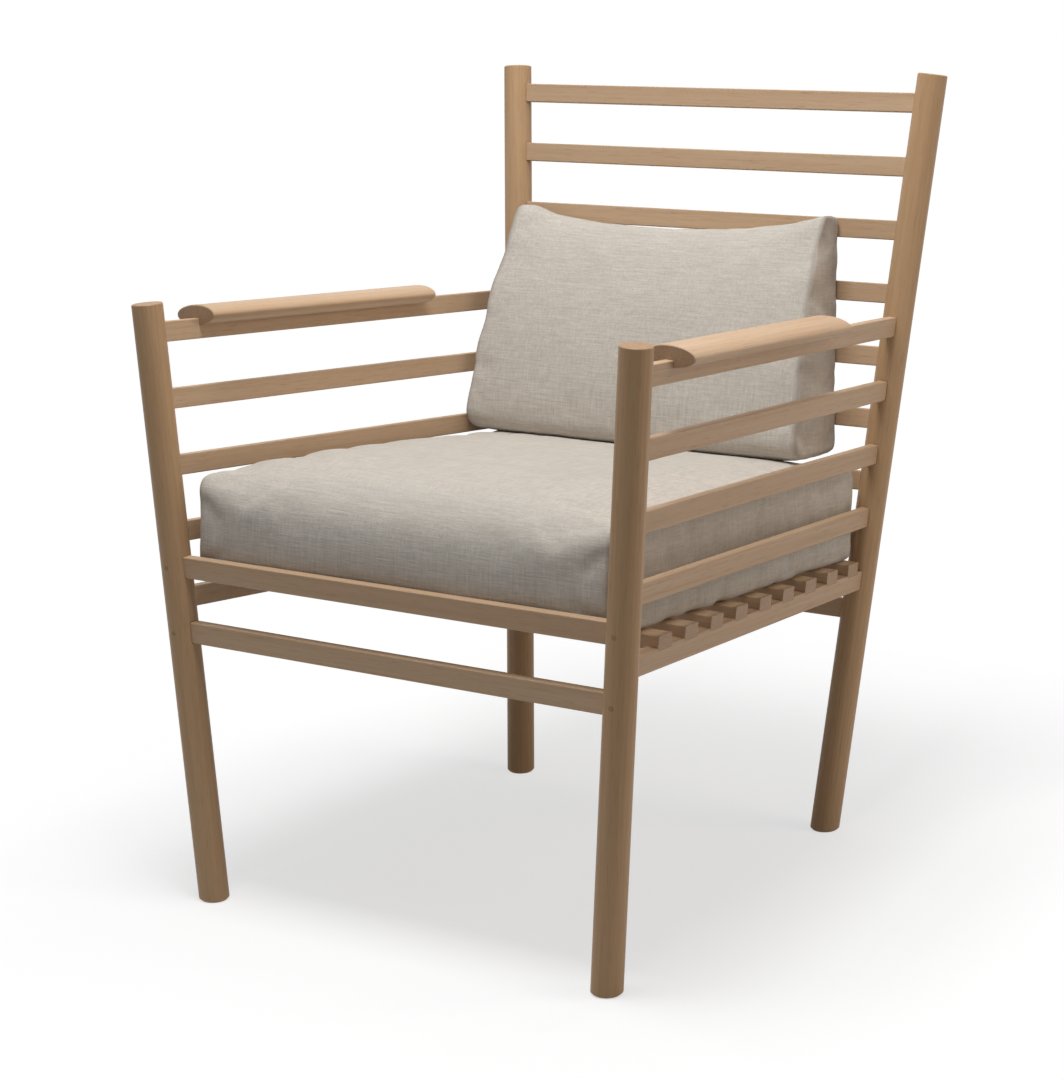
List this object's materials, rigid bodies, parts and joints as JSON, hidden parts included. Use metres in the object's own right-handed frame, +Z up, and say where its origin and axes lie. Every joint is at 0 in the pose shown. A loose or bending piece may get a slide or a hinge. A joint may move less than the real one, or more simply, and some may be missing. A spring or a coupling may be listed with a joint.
{
  "type": "slatted lounge armchair",
  "caption": "Low wooden armchair with splayed round posts, thin horizontal slats on three sides, a slatted seat, oval arm pads and two loose cushions.",
  "frame": {"origin": "on the floor, under the centre of the chair's bounding box", "axes": "+Z up, the front of the chair faces -Y, +X is to the right of somebody who looks at the front"},
  "size_m": [0.6532, 0.7, 0.8626],
  "materials": {
    "ash": "pale straight-grained hardwood under a thin matt oil",
    "linen": "undyed grey-beige linen in a plain open weave"
  },
  "bodies": {
    "frame": {"arm_pad_left": "ash", "arm_pad_right": "ash", "back_leg_left": "ash", "back_leg_right": "ash", "back_slat_1": "ash", "back_slat_2": "ash", "back_slat_3": "ash", "back_slat_4": "ash", "back_slat_5": "ash", "back_slat_6": "ash", "back_slat_7": "ash", "back_slat_8": "ash", "back_stretcher": "ash", "front_leg_left": "ash", "front_leg_right": "ash", "front_rail": "ash", "front_stretcher": "ash", "seat_slat_1": "ash", "seat_slat_2": "ash", "seat_slat_3": "ash", "seat_slat_4": "ash", "seat_slat_5": "ash", "seat_slat_6": "ash", "seat_slat_7": "ash", "seat_slat_8": "ash", "seat_slat_9": "ash", "side_rail_left": "ash", "side_rail_right": "ash", "side_slat_left_1": "ash", "side_slat_left_2": "ash", "side_slat_left_3": "ash", "side_slat_left_4": "ash", "side_slat_right_1": "ash", "side_slat_right_2": "ash", "side_slat_right_3": "ash", "side_slat_right_4": "ash", "tenon_pegs": "ash"},
    "seat_cushion": {"seat_cushion": "linen"},
    "back_cushion": {"back_cushion": "linen"}
  },
  "joints": [
    {"name": "seat_cushion_lift", "type": "slide", "parent": "frame", "child": "seat_cushion", "axis": [0, 0, 1], "range_m": [0, 0.45]},
    {"name": "back_cushion_lift", "type": "slide", "parent": "seat_cushion", "child": "back_cushion", "axis": [0, 0, 1], "range_m": [0, 0.45]}
  ]
}
